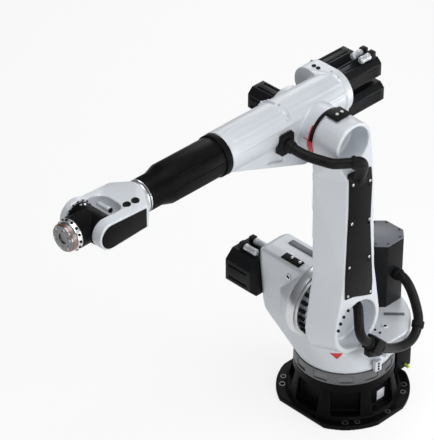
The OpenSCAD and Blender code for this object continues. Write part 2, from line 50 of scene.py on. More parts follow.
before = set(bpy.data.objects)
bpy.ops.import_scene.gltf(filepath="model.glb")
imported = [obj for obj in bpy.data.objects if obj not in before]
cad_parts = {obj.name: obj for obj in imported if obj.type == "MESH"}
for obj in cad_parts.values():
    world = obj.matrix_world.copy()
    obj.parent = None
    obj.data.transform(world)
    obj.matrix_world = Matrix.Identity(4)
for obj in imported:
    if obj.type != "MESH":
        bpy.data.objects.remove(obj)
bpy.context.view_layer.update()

MM = 0.001
X, Y, Z = Vector((1, 0, 0)), Vector((0, 1, 0)), Vector((0, 0, 1))

# Places of the axes and faces in the shared frame, in millimetres
AXIS2 = (286, 746)
AXIS3 = (356, 1805)
FOREARM_Z = 1863
FLANGE_X = 120
WRIST_X = 1380
AXIS5_X = 1680
TOOL_X = 1844
GEAR_FACE_Y = 98
ARM_FACE_Y = 335
COVER_FACE_Y = 342
TOWER_BACK_Y = -288
TOWER_X = 348
BASE_TOP = 26
BASE_POCKET_R = 232
ANCHOR_R = 310
ANCHOR_SPLIT = 11.5
STOP_ANGLE = math.radians(81)
STOP_FACE_R = 276.3
BAND_X = 537
PLATFORM_Z = 472
MOTOR1_X = -246
MOTOR1_TOP = 850

# A hair's breadth, for comparing places, and a height over the whole arm, from which lines are cast down
HAIR = 0.1
ABOVE_ALL = 2200

# Motor plugs: the distance between the two of a pair, their place and how far their shells reach
AXIS2_PLUG_GAP = 70
AXIS2_PLUG_BACK = 120
AXIS2_PLUG_REACH = 100
REAR_PLUG_GAP = 50
REAR_PLUG_BACK = 200
REAR_PLUG_Y = 8
REAR_PLUG_REACH = 80
PLUG_SOCKET = (32, 32, 44)
PLUG_AXIS = 24

# Screws: their places or circles, and how far their seats are sunk. A place on a face leaves out the
# coordinate of the face, and the share is that of a motor's half width at which its corner screws sit
GEAR_SCREW_R = 160
COVER_SCREWS = (
    (247, 1571), (364, 1600), (241, 1350), (364, 1380), (233, 1128), (370, 1131), (212, 910), (372, 962),
)
COVER_PINS = 6
COVER_PIN_DROP = 24
HUB_SCREW_R = 143
HUB_SCREW_DEGREES = (14, 29, 44, 59)
STOP_SCREW_X = (18, -14)
STOP_SCREW_Y = 240
STOP_SCREW_SUNK = 4
HATCH_SCREWS = ((306, -87), (306, -34))
REAR_SCREWS = ((70, 1940), (96, 1895), (98, 1835), (-165, 1940), (-40, 1958))
REAR_SCREW_SUNK = 0.5
CORNER_SHARE = 0.62
CHEEK_CAP_Y = -122
CHEEK_SCREW_R = 42
FAR_RIM_Y = -79.5
FAR_RIM_R = 75
BAND_SOCKETS = 14
BAND_SOCKET_SUNK = 1.2
WRIST_BODY_SCREWS = ((AXIS5_X + 4, -54), (AXIS5_X - 10, -44))
TOOL_SCREW_R = 52
TOOL_SCREW_SUNK = 0.2
LID_SCREW_FAR = 88
LID_SCREW_NEAR = 44
STOP_BLOCK_SCREWS = (0.22, 0.5, 0.78)
BAND_SCREWS = ((157, 0), (157, 46), (BAND_X, -84), (BAND_X, -40), (BAND_X, 30), (BAND_X, 84))
BRACKET_SCREW_BACK = 66
BRACKET_SCREW_PITCH = 18
BRACKET_SCREW_IN = 11

# Other small pieces: sizes and places, and the share of its hose's run at which the support ring sits
COPPER_BACK = 14
# Offset of the black band of painted shade on the wrist ring, from the ring's place
SHADE_BAND_FRONT = 9
FORK_PLUGS = ((1529, 70), (1487, 80))
THROAT_PIN = (1566, -76, 1878)
THROAT_PIN_LONG = 78
BULGE_PLUGS = ((180, -92), (180, -64))
EYELET = (-69, 852)
PLATFORM_BAR = (-176, 170)
BAR_SIZE = (104, 22, 2.4)
BAR_TURN = math.radians(-45)
PLATFORM_BOSS = (-70, 204)
PLATFORM_SCREWS = ((-11, 192), (-10, 226), PLATFORM_BOSS)
ANCHOR_HOLE_R = 11
SPARE_HOLE_R = 9
BLANK_PLATE = (-26, 82)
BLANK_SIZE = (54, 58, 2.4)
BLANK_RIVETS = (21, 23)
CONNECTOR = (46, 62, 18)
CONNECTOR_SUNK = 8
CONNECTOR_Z = BASE_TOP + 75
CONNECTOR_RING = 15
ELBOW_FOOT = (58, 78, 28)
ELBOW_FOOT_AT = (369, ARM_FACE_Y + ELBOW_FOOT[1] / 2, 1642)
ELBOW_WALL = 4
SLEEVE_GRIP = 1
SUPPORT_SHARE = 0.62

# Sizes of the patterns in the finishes; the tool rings are drawn far coarser than real ones, to show
CLOUD_MM = 180
DUST_MM = 12
STAIN_MM = 50
MARK_MM = 30
PEEL_DEPTH_MM = 0.6
RING_DEPTH_MM = 0.2
WIDE_RINGS = 12.566
FINE_RINGS = 6.283

# Tones of the slewing ring and the tool flange beside their bare metal; the flange's tone is painted shade,
# which darkens the whole flange for the dark centre of its face
SLEW_TONE = 0.27
FLANGE_SHADE_TONE = 0.32

# Length of one ring of the wave texture at a scale of 1
WAVE_LENGTH = math.tau / 20

# The camera: its place and reach in metres, the direction to it, and its lens and sensor in millimetres
CAMERA_AT = Vector((7.772, 6.944, 8.352))
CAMERA_BACK = Vector((0.57546, 0.58213, 0.57443))
CAMERA_LENS = 212.3
CAMERA_SENSOR = 36
CAMERA_REACH = 200

# The studio: the direction from which its air is brightest, the air's level there, and the floor's whiteness
BRIGHT_SIDE = Vector((-0.2, 0.6, 0.77))
BRIGHT_LEVEL = 0.52
FLOOR_WHITE = 0.8

# Lamps: name, place, aim, width and power, in metres and watts
LAMPS = (
    ("top_softbox", (1.0, 0.6, 9.0), (0.8, 0, 1.1), 5.0, 270),
    ("side_softbox", (-0.6, 5.5, 3.2), (0.6, 0, 1.1), 3.0, 70),
    ("front_fill", (6.0, 0.6, 2.0), (0.6, 0, 1.1), 3.0, 5),
    ("low_fill", (1.5, 3.6, 1.6), (0, 0.1, 0.4), 1.6, 27),
    ("wrist_light", (2.3, 1.1, 3.1), (1.62, 0.05, 1.88), 0.7, 7),
    ("platform_light", (-1.4, 1.6, 1.5), (-0.15, 0.15, 0.47), 0.8, 20),
    ("back_rim", (-3.5, -3.5, 4.0), (0.6, 0, 1.1), 2.5, 60),
)

# Points in front of the dome, on the camera's lines of sight to the corners of the red pointer, and how far
# in front of the dome the pointer's flat outline starts
POINTER = ((500.0, 353.9, 688.3), (500.0, 449.8, 745.9), (500.0, 403.5, 676.5))
POINTER_START = 20

# A radius outside the boss of axis 3, and how far in front of the boss its label's flat outline starts
BOSS_OUTSIDE = 200
LABEL_START = 12

# Centre lines of the hoses, as the CAD routes give them
UPPER_ROUTE = (
    (578, 118, 1822), (574, 160, 1812), (561, 207, 1799), (543, 252, 1790), (524, 297, 1786),
    (506, 343, 1785), (470, 370, 1782), (437, 396, 1782),
)
ELBOW_ROUTE = (
    (436.67, 396.26, 1782), (413.9, 414.2, 1782), (395, 418, 1770), (381, 412, 1744), (373, 399, 1708),
    (369, 386, 1668),
)
LOWER_ROUTE = (
    (262, 245.3, 845), (262, 285, 845), (275, 322, 840), (300, 352, 822), (326, 380, 800), (338, 398, 765),
    (324, 406, 720), (284, 407, 675), (238, 405, 635),
)
TURNTABLE_ROUTE = (
    (237.54, 404.98, 634.6), (192, 403, 595), (138, 390, 550), (78, 376, 508), (16, 366, 474),
    (-52, 360, 452), (-118, 345, 444), (-176, 322, 456), (-216, 296, 492), (-234, 264, 538),
    (-244, 230, 586), (-248, 194, 630), (-250, 152, 656), (-250, 102, 656),
)


def linear(hex_colour):
    """Turns an sRGB hex colour into linear RGBA."""
    channels = [int(hex_colour[i:i + 2], 16) / 255 for i in (1, 3, 5)]
    return tuple(c / 12.92 if c <= 0.04045 else ((c + 0.055) / 1.055) ** 2.4 for c in channels) + (1.0,)


def colour(name, description, hex_colour):
    """A colour that the user can change, given as sRGB hex."""
    return FloatVectorProperty(
        name=name, description=description, subtype="COLOR", size=4, min=0, max=1, default=linear(hex_colour)
    )


def length(name, description, millimetres):
    """A length that the user can change, given in millimetres."""
    return FloatProperty(
        name=name, description=description, default=millimetres * MM, min=0, subtype="DISTANCE", unit="LENGTH"
    )


class RobotColours(bpy.types.PropertyGroup):
    """Colours of the finishes."""

    silver: colour("Silver paint", "Paint of the arm's castings", "#CFD3D8")
    black: colour("Black paint", "Paint of the base, forearm and covers", "#070708")
    motor: colour("Motor black", "Coating of the motors", "#0B0C0E")
    lid: colour("Lid grey", "Paint of the axis 1 motor's lid and top plate", "#5E6168")
    steel: colour("Machined steel", "Gear, slewing ring and anchor seats", "#DADCDE")
    nickel: colour("Nickel", "Screws, wrist rings and tool flange", "#D9DADB")
    zinc: colour("Zinc", "Shells of the motors' plugs", "#C4C8CC")
    copper: colour("Copper", "Ring round the tool flange", "#A8705A")
    rubber: colour("Hose black", "Jacket of the hoses", "#060607")
    plastic: colour("Black plastic", "Clamps, plugs and brackets", "#0B0B0C")
    plate: colour("Bare plate", "Bare metal plates", "#C9CBCF")
    red: colour("Signal red", "Pointer and zero mark", "#C8201F")
    earth: colour("Earth green", "Earth terminal", "#B4BE2C")
    floor: colour("Floor", "Studio floor", "#F4F4F4")


class RobotSizes(bpy.types.PropertyGroup):
    """Sizes that scene pieces take beside the CAD's own."""

    hose: length("Hose diameter", "Outer diameter of the hoses", 50)
    casting_grain: length("Casting grain", "Cell size that rounds the edges of castings", 5)
    fine_grain: length("Fine grain", "Cell size for the wrist's casting", 3)
    edge: length("Edge rounding", "Rounding of the machined and moulded edges", 2)
    cover_screw: length("Cover screw radius", "Radius of the bright screws on the covers", 7)
    gear_screw: length("Gear screw radius", "Radius of the black screws on the axis 2 gear", 11)
    gear_screws: IntProperty(
        name="Gear screws", description="Screws round the axis 2 gear", default=24, min=4
    )
    floor: length("Floor width", "Width of the studio floor", 60000)


def colours():
    """The scene's colours."""
    return bpy.context.scene.robot_colours


def sizes():
    """The scene's sizes."""
    return bpy.context.scene.robot_sizes


def point(x, y, z):
    """A place given in millimetres, in metres."""
    return Vector((x, y, z)) * MM


# Finishes


def add(tree, kind, settings, links=None):
    """Adds a shader node, sets its attributes and sockets, and links other nodes' outputs into it."""
    node = tree.nodes.new(kind)
    for key, value in settings.items():
        if isinstance(key, int) or key in node.inputs:
            node.inputs[key].default_value = value
        else:
            setattr(node, key, value)
    for key, socket in (links or {}).items():
        tree.links.new(socket, node.inputs[key])
    return node


def blank(name):
    """A new empty material and its node tree, or the one made before and None."""
    made = bpy.data.materials.get(name)
    if made:
        return made, None
    made = bpy.data.materials.new(name)
    made.use_nodes = True
    made.node_tree.nodes.clear()
    return made, made.node_tree


def darkened(base, share):
    """A colour at a share of its level."""
    return [c * share for c in base[:3]] + [1]


def lightened(base, share):
    """A colour brought towards white by a share of what it lacks."""
    return [c + (1 - c) * share for c in base[:3]] + [1]


def shade(tree, settings, coloured, gloss, bump):
    """Ends a material: its surface with colour, gloss and relief, and the output."""
    surface = add(
        tree, "ShaderNodeBsdfPrincipled", settings,
        {
            "Base Color": coloured.outputs[2], "Roughness": gloss.outputs["Result"],
            "Normal": bump.outputs["Normal"],
        },
    )
    add(tree, "ShaderNodeOutputMaterial", {}, {"Surface": surface.outputs["BSDF"]})


def paint(
    name, base, rough, peel_mm, metallic=0.0, coat=0.0, worn=0.25, bare=0.35, tint=0.06, gloss_level=0.5
):
    """Sprayed paint on a casting: orange peel in the gloss, faint clouds, paler on handled edges."""
    material, tree = blank(name)
    if tree is None:
        return material
    place = add(tree, "ShaderNodeTexCoord", {}).outputs["Object"]
    peel = add(tree, "ShaderNodeTexNoise", {"Scale": 1 / (peel_mm * MM), "Detail": 2.0}, {"Vector": place})
    cloud = add(
        tree, "ShaderNodeTexNoise", {"Scale": 1 / (CLOUD_MM * MM), "Detail": 4.0, "Roughness": 0.6},
        {"Vector": place},
    )
    dust = add(tree, "ShaderNodeTexNoise", {"Scale": 1 / (DUST_MM * MM), "Detail": 3.0}, {"Vector": place})
    edge = add(tree, "ShaderNodeNewGeometry", {})
    edges = add(
        tree, "ShaderNodeMapRange", {"From Min": 0.51, "From Max": 0.6, "To Max": worn},
        {"Value": edge.outputs["Pointiness"]},
    )
    broken = add(
        tree, "ShaderNodeMath", {"operation": "MULTIPLY"},
        {0: edges.outputs["Result"], 1: dust.outputs["Fac"]},
    )
    light = [min(1.0, c * (1 + tint)) for c in base[:3]] + [1]
    clouds = add(
        tree, "ShaderNodeMix", {"data_type": "RGBA", 6: darkened(base, 1 - tint), 7: light},
        {0: cloud.outputs["Fac"]},
    )
    coloured = add(
        tree, "ShaderNodeMix", {"data_type": "RGBA", 7: lightened(base, bare)},
        {0: broken.outputs["Value"], 6: clouds.outputs[2]},
    )
    gloss = add(
        tree, "ShaderNodeMapRange",
        {"From Min": 0.3, "From Max": 0.7, "To Min": rough - 0.05, "To Max": rough + 0.07},
        {"Value": cloud.outputs["Fac"]},
    )
    bump = add(
        tree, "ShaderNodeBump", {"Strength": 0.12, "Distance": PEEL_DEPTH_MM * MM},
        {"Height": peel.outputs["Fac"]},
    )
    settings = {
        "Metallic": metallic, "Coat Weight": coat, "Coat Roughness": 0.2, "Specular IOR Level": gloss_level
    }
    shade(tree, settings, coloured, gloss, bump)
    return material


def turned_metal(name, base, rough, ring_mm, centre, turn):
    """Metal from the lathe: tool rings about its axis, at a spacing in millimetres, slightly stained."""
    material, tree = blank(name)
    if tree is None:
        return material
    place = add(tree, "ShaderNodeTexCoord", {}).outputs["Object"]
    centred = add(
        tree, "ShaderNodeMapping", {"vector_type": "POINT", "Location": -centre}, {"Vector": place}
    )
    rings = add(
        tree, "ShaderNodeTexWave",
        {
            "wave_type": "RINGS", "rings_direction": turn, "Scale": WAVE_LENGTH / (ring_mm * MM),
            "Distortion": 0.4, "Detail": 2.0,
        },
        {"Vector": centred.outputs["Vector"]},
    )
    stain = add(tree, "ShaderNodeTexNoise", {"Scale": 1 / (STAIN_MM * MM), "Detail": 5.0}, {"Vector": place})
    coloured = add(
        tree, "ShaderNodeMix", {"data_type": "RGBA", 6: darkened(base, 0.8), 7: base},
        {0: stain.outputs["Fac"]},
    )
    gloss = add(
        tree, "ShaderNodeMapRange", {"To Min": rough - 0.06, "To Max": rough + 0.1},
        {"Value": rings.outputs["Fac"]},
    )
    bump = add(
        tree, "ShaderNodeBump", {"Strength": 0.15, "Distance": RING_DEPTH_MM * MM},
        {"Height": rings.outputs["Fac"]},
    )
    shade(tree, {"Metallic": 1.0}, coloured, gloss, bump)
    return material


def moulded(name, base, rough, grain_mm, depth_mm=0.15, metallic=0.0, gloss_level=0.5):
    """Moulded or plated skin: a fine grain that breaks up the highlight, and slight handling marks."""
    material, tree = blank(name)
    if tree is None:
        return material
    place = add(tree, "ShaderNodeTexCoord", {}).outputs["Object"]
    grain = add(tree, "ShaderNodeTexVoronoi", {"Scale": 1 / (grain_mm * MM)}, {"Vector": place})
    marks = add(tree, "ShaderNodeTexNoise", {"Scale": 1 / (MARK_MM * MM), "Detail": 4.0}, {"Vector": place})
    coloured = add(
        tree, "ShaderNodeMix", {"data_type": "RGBA", 6: base, 7: lightened(base, 0.012)},
        {0: marks.outputs["Fac"]},
    )
    gloss = add(
        tree, "ShaderNodeMapRange",
        {"From Min": 0.3, "From Max": 0.7, "To Min": rough - 0.06, "To Max": rough + 0.08},
        {"Value": marks.outputs["Fac"]},
    )
    bump = add(
        tree, "ShaderNodeBump", {"Strength": 0.2, "Distance": depth_mm * MM},
        {"Height": grain.outputs["Distance"]},
    )
    shade(tree, {"Metallic": metallic, "Specular IOR Level": gloss_level}, coloured, gloss, bump)
    return material


def finish_of(name):
    """The finishes by name. Each says what the real surface is."""
    c = colours()
    if name == "silver_paint":
        # Silver-white two-pack paint on sand-cast iron: satin, slightly metallic, peel about 3 mm
        return paint("silver_two_pack_paint", c.silver[:], rough=0.44, peel_mm=3, metallic=0.25, coat=0.04)
    if name == "black_cast":
        # Black powder coat on the cast base and forearm: semi-matt, peel about 2 mm
        return paint(
            "black_powder_coat", c.black[:], rough=0.42, peel_mm=2,
            worn=0.3, bare=0.06, tint=0.15, gloss_level=0.06,
        )
    if name == "motor_black":
        # Black anodised aluminium housings: smoother than the powder coat, with a soft sheen
        return paint(
            "black_anodised_housing", c.motor[:], rough=0.36, peel_mm=1.5,
            worn=0.3, bare=0.08, tint=0.12, gloss_level=0.1,
        )
    if name == "grey_lid":
        # Grey baked enamel on sheet lids: even and satin, hardly worn
        return paint("grey_baked_enamel", c.lid[:], rough=0.4, peel_mm=1.5, worn=0.1)
    if name == "gear_steel":
        # Turned steel of the axis 2 gear: bright, with tool rings drawn far coarser than real ones to show
        return turned_metal(
            "turned_gear_steel", c.steel[:], rough=0.34, ring_mm=WIDE_RINGS,
            centre=point(AXIS2[0], 0, AXIS2[1]), turn="Y",
        )
    if name == "slew_steel":
        # Turned steel of the slewing ring and the anchor seats, dull under a grey wash coat
        return turned_metal(
            "turned_slew_steel", darkened(c.steel, SLEW_TONE), rough=0.45, ring_mm=WIDE_RINGS,
            centre=Vector(), turn="Z",
        )
    if name == "wrist_steel":
        # Bright turned steel of the wrist's ring and band, with rings coarse enough to show
        return turned_metal(
            "turned_wrist_steel", c.nickel[:], rough=0.24, ring_mm=FINE_RINGS,
            centre=point(0, 0, FOREARM_Z), turn="X",
        )
    if name == "flange_steel":
        # Turned steel of the tool flange, darkened all over with painted shade for the dark centre of its
        # face, so darker than the rings behind it
        return turned_metal(
            "turned_flange_steel_painted_shade", darkened(c.nickel, FLANGE_SHADE_TONE), rough=0.26, ring_mm=FINE_RINGS,
            centre=point(0, 0, FOREARM_Z), turn="X",
        )
    if name == "nickel":
        # Nickel plated screws: bright, with a faint grain
        return moulded("nickel_plate", c.nickel[:], rough=0.26, grain_mm=1.5, depth_mm=0.05, metallic=1.0)
    if name == "zinc":
        # Die-cast zinc plug shells: pale and satin
        return moulded("satin_cast_zinc", c.zinc[:], rough=0.42, grain_mm=1.5, depth_mm=0.05, metallic=0.55)
    if name == "copper":
        # Bare turned copper: a warm, slightly dulled line
        return moulded("bare_copper", c.copper[:], rough=0.3, grain_mm=1.5, depth_mm=0.05, metallic=1.0)
    if name == "black_screw":
        # Blackened steel socket screws: dark with a soft glint
        return moulded(
            "blackened_steel", c.plastic[:], rough=0.38, grain_mm=1.2, depth_mm=0.1,
            metallic=0.3, gloss_level=0.1,
        )
    if name == "rubber":
        # Smooth extruded hose jacket: faint drawn skin, satin
        return moulded(
            "extruded_hose_jacket", c.rubber[:], rough=0.38, grain_mm=4, depth_mm=0.1, gloss_level=0.1
        )
    if name == "plastic":
        # Moulded glass-filled nylon clamps and plugs: spark-eroded grain, nearly matt
        return moulded(
            "moulded_nylon", c.plastic[:], rough=0.46, grain_mm=1.5, depth_mm=0.2, gloss_level=0.08
        )
    if name == "bare_plate":
        # Bare anodised aluminium plates: fine satin skin
        return moulded(
            "satin_anodised_plate", c.plate[:], rough=0.42, grain_mm=1.2, depth_mm=0.05, metallic=0.2
        )
    if name == "red":
        # Signal red enamel brushed on as marks: satin
        return moulded("signal_red_paint", c.red[:], rough=0.4, grain_mm=2, depth_mm=0.1)
    if name == "earth":
        # Yellow-green nylon of the earth terminal: nearly matt
        return moulded("earth_green_nylon", c.earth[:], rough=0.45, grain_mm=2, depth_mm=0.1)
    raise ValueError("no finish named " + name)


# Modelling helpers


def only(piece):
    """Selects one piece and makes it active."""
    if bpy.context.mode != "OBJECT":
        bpy.ops.object.mode_set(mode="OBJECT")
    bpy.ops.object.select_all(action="DESELECT")
    piece.select_set(True)
    bpy.context.view_layer.objects.active = piece


def begin(name, primitive, **settings):
    """Adds a primitive as a new piece, with nothing else selected."""
    if bpy.context.mode != "OBJECT":
        bpy.ops.object.mode_set(mode="OBJECT")
    bpy.ops.object.select_all(action="DESELECT")
    primitive(**settings)
    piece = bpy.context.active_object
    piece.name = name
    piece.data.name = name
    return piece


def pick(piece, wanted):
    """In edit mode, selects the faces for which wanted(centre, normal) holds."""
    bpy.ops.mesh.select_mode(type="FACE")
    bpy.ops.mesh.select_all(action="DESELECT")
    mesh = bmesh.from_edit_mesh(piece.data)
    for face in mesh.faces:
        face.select = bool(wanted(face.calc_center_median(), face.normal))
    mesh.select_flush(True)
    bmesh.update_edit_mesh(piece.data)


def modify(piece, kind, **settings):
    """Adds a modifier with its settings and applies it."""
    only(piece)
    modifier = piece.modifiers.new(kind.lower(), kind)
    for key, value in settings.items():
        setattr(modifier, key, value)
    bpy.ops.object.modifier_apply(modifier=modifier.name)


def smooth(piece, degrees=32):
    """Shades a piece smooth, apart from edges sharper than an angle."""
    only(piece)
    bpy.ops.object.shade_smooth_by_angle(angle=math.radians(degrees))


def stand(piece, at, along=Z, spin=0.0):
    """Turns a piece made along +Z to another direction, moves it and puts its place in the mesh."""
    only(piece)
    turn = along.to_track_quat("Z", "Y").to_matrix().to_4x4()
    piece.matrix_world = Matrix.Translation(at) @ turn @ Matrix.Rotation(spin, 4, "Z")
    bpy.ops.object.transform_apply(location=True, rotation=True, scale=True)


def settle(piece, finish, body, *nodes):
    """Gives a piece its finish and body, and hides the CAD nodes that it stands for."""
    piece.data.materials.clear()
    piece.data.materials.append(finish_of(finish))
    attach(piece, body)
    if nodes:
        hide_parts(*nodes)
    return piece


def copy_of(node, name):
    """A new piece with a merged copy of a CAD node's mesh."""
    piece = bpy.data.objects.new(name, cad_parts[node].data.copy())
    piece.data.name = name
    bpy.context.scene.collection.objects.link(piece)
    only(piece)
    bpy.ops.mesh.customdata_custom_splitnormals_clear()
    bpy.ops.object.mode_set(mode="EDIT")
    bpy.ops.mesh.select_all(action="SELECT")
    bpy.ops.mesh.remove_doubles(threshold=0.02 * MM)
    bpy.ops.object.mode_set(mode="OBJECT")
    return piece


def cast(node, name, grain, passes):
    """A casting: the CAD shape with its edges rounded as a sand mould leaves them."""
    piece = copy_of(node, name)
    modify(piece, "REMESH", mode="VOXEL", voxel_size=grain)
    modify(piece, "SMOOTH", factor=0.5, iterations=passes)
    only(piece)
    bpy.ops.object.shade_smooth()
    return piece


def edged(node, name, width, segments=2):
    """A machined or moulded piece: the CAD shape with its sharp edges bevelled."""
    piece = copy_of(node, name)
    bpy.ops.object.mode_set(mode="EDIT")
    bpy.ops.mesh.select_all(action="SELECT")
    bpy.ops.mesh.dissolve_limited(angle_limit=math.radians(0.5))
    bpy.ops.object.mode_set(mode="OBJECT")
    modify(piece, "BEVEL", width=width, segments=segments, limit_method="ANGLE", angle_limit=math.radians(35))
    smooth(piece)
    return piece


def turned(name, profile, at, along, bore=False, facets=64, edge=0.8):
    """A turned piece from (height, radius) steps in millimetres; bore joins its last ring to its first."""
    piece = begin(
        name, bpy.ops.mesh.primitive_circle_add, vertices=facets, radius=profile[0][1] * MM,
        fill_type="NOTHING",
    )
    bpy.ops.object.mode_set(mode="EDIT")
    bpy.ops.mesh.select_all(action="SELECT")
    bpy.ops.transform.translate(value=(0, 0, profile[0][0] * MM))
    for (low, inner), (high, outer) in zip(profile, profile[1:]):
        bpy.ops.mesh.extrude_edges_move(TRANSFORM_OT_translate={"value": (0, 0, (high - low) * MM)})
        bpy.ops.transform.resize(value=(outer / inner, outer / inner, 1), center_override=(0, 0, high * MM))
    if bore:
        bpy.ops.mesh.select_all(action="DESELECT")
        bpy.ops.mesh.select_mode(type="EDGE")
        bpy.ops.mesh.select_non_manifold()
        bpy.ops.mesh.bridge_edge_loops()
    else:
        bpy.ops.mesh.select_all(action="SELECT")
        bpy.ops.mesh.fill_holes(sides=0)
    bpy.ops.mesh.select_all(action="SELECT")
    bpy.ops.mesh.normals_make_consistent(inside=False)
    bpy.ops.object.mode_set(mode="OBJECT")
    modify(piece, "BEVEL", width=edge * MM, segments=2, limit_method="ANGLE", angle_limit=math.radians(40))
    smooth(piece)
    stand(piece, at, along)
    return piece


def block(name, size, at, along=Z, spin=0.0, edge=1.5):
    """A block of a size in millimetres whose foot stands at a place, with its edges bevelled."""
    piece = begin(name, bpy.ops.mesh.primitive_cube_add, size=1)
    bpy.ops.object.mode_set(mode="EDIT")
    bpy.ops.mesh.select_all(action="SELECT")
    bpy.ops.transform.resize(value=(size[0] * MM, size[1] * MM, size[2] * MM))
    bpy.ops.transform.translate(value=(0, 0, size[2] * MM / 2))
    bpy.ops.mesh.bevel(offset=edge * MM, segments=2, affect="EDGES")
    bpy.ops.object.mode_set(mode="OBJECT")
    smooth(piece)
    stand(piece, at, along, spin)
    return piece


def join(name, pieces):
    """Joins pieces into one."""
    only(pieces[0])
    for piece in pieces:
        piece.select_set(True)
    bpy.ops.object.join()
    pieces[0].name = name
    pieces[0].data.name = name
    return pieces[0]


def screw(name, radius, height, socket=0.5):
    """One cap screw along +Z with a socket in its head, its seat at the origin."""
    rim, crown, depth = 0.14, 0.16, 0.7
    piece = begin(
        name, bpy.ops.mesh.primitive_cylinder_add, vertices=18, radius=radius, depth=height,
        location=(0, 0, height / 2),
    )
    bpy.ops.object.transform_apply(location=True, rotation=False, scale=False)
    bpy.ops.object.mode_set(mode="EDIT")
    pick(piece, lambda centre, normal: normal.z > 0.9)
    bpy.ops.mesh.inset(thickness=radius * rim, depth=0)
    bpy.ops.transform.translate(value=(0, 0, height * crown))
    bpy.ops.mesh.inset(thickness=radius * (1 - rim - socket), depth=0)
    bpy.ops.mesh.extrude_region_move(TRANSFORM_OT_translate={"value": (0, 0, -height * depth)})
    bpy.ops.object.mode_set(mode="OBJECT")
    smooth(piece, 40)
    return piece


def fasten(name, spots, finish, body, radius, height, socket=0.5):
    """A group of like screws as one piece on a body, modelled once and copied to each (place, direction)."""
    first = screw(name, radius * MM, height * MM, socket)
    copies = []
    for at, along in spots:
        twin = first.copy()
        twin.data = first.data.copy()
        bpy.context.scene.collection.objects.link(twin)
        stand(twin, at, along)
        copies.append(twin)
    bpy.data.objects.remove(first)
    settle(join(name, copies), finish, body)


def on_surface(piece, start, along):
    """Where a line from a start, in millimetres, meets a piece, and the surface's direction there."""
    hit, place, normal, _ = piece.ray_cast(point(*start), along)
    if not hit:
        raise ValueError("the line from " + str(start) + " misses " + piece.name)
    return place, normal


def down_onto(name, places):
    """Spots on a piece straight below (x, y) places."""
    piece = bpy.data.objects[name]
    return [on_surface(piece, (x, y, ABOVE_ALL), -Z) for x, y in places]


def wrapped(name, target, corners, lift):
    """A thin plate: a flat outline in front of a curved target, wrapped onto it at a lift in millimetres."""
    plate = begin(
        name, bpy.ops.mesh.primitive_circle_add, vertices=len(corners), radius=30 * MM, fill_type="NGON"
    )
    for vertex, corner in zip(plate.data.vertices, corners):
        vertex.co = corner
    bpy.ops.object.mode_set(mode="EDIT")
    bpy.ops.mesh.select_all(action="SELECT")
    bpy.ops.mesh.quads_convert_to_tris()
    bpy.ops.mesh.subdivide(number_cuts=7)
    bpy.ops.object.mode_set(mode="OBJECT")
    modify(
        plate, "SHRINKWRAP", target=target, wrap_method="NEAREST_SURFACEPOINT", wrap_mode="ABOVE_SURFACE",
        offset=lift * MM,
    )
    modify(plate, "SOLIDIFY", thickness=0.8 * MM, offset=1)
    only(plate)
    bpy.ops.object.mode_set(mode="EDIT")
    bpy.ops.mesh.select_all(action="SELECT")
    bpy.ops.mesh.normals_make_consistent(inside=False)
    bpy.ops.object.mode_set(mode="OBJECT")
    smooth(plate)
    return plate


def ring_spots(centre, axis, radius, count, start=0.0):
    """Spots evenly spaced on a circle in millimetres, all facing along the axis."""
    side = axis.orthogonal().normalized()
    return [
        (centre + (Matrix.Rotation(start + math.tau * i / count, 3, axis) @ side) * radius * MM, axis)
        for i in range(count)
    ]


def curve_points(route, steps=8):
    """A smooth curve through a route given in millimetres, as points in metres."""
    knots = [Vector(p) * MM for p in route]
    knots = [2 * knots[0] - knots[1]] + knots + [2 * knots[-1] - knots[-2]]
    points = []
    for a, b, c, d in zip(knots, knots[1:], knots[2:], knots[3:]):
        for i in range(steps):
            t = i / steps
            points.append(0.5 * (
                2 * b + (c - a) * t + (2 * a - 5 * b + 4 * c - d) * t ** 2 + (3 * b - a - 3 * c + d) * t ** 3
            ))
    return points + [knots[-2]]


def tube(name, points, radius):
    """A round tube along points, with closed ends."""
    line = bpy.data.curves.new(name, "CURVE")
    line.dimensions = "3D"
    spline = line.splines.new("POLY")
    spline.points.add(len(points) - 1)
    for knot, place in zip(spline.points, points):
        knot.co = (*place, 1)
    line.bevel_depth = radius
    line.bevel_resolution = 8
    line.use_fill_caps = True
    piece = bpy.data.objects.new(name, line)
    bpy.context.scene.collection.objects.link(piece)
    only(piece)
    bpy.ops.object.convert(target="MESH")
    piece = bpy.context.active_object
    smooth(piece, 40)
    return piece


def sleeve(name, points, middle, long, radius, end_radius=None):
    """A moulded sleeve on a hose, with its middle that far along it, in millimetres."""
    last = len(points) - 1
    i = next(i for i in range(1, last + 1) if run(points[:i + 1]) >= middle * MM or i == last)
    end, half, bore = end_radius or radius, long / 2, sizes().hose / MM / 2 - SLEEVE_GRIP
    profile = [(-half, bore), (-half, radius), (half, end), (half, bore)]
    along = (points[i] - points[i - 1]).normalized()
    return turned(name, profile, points[i], along, bore=True, facets=40, edge=3)


def run(points):
    """Length of a line of points."""
    return sum((b - a).length for a, b in zip(points, points[1:]))


# Operators


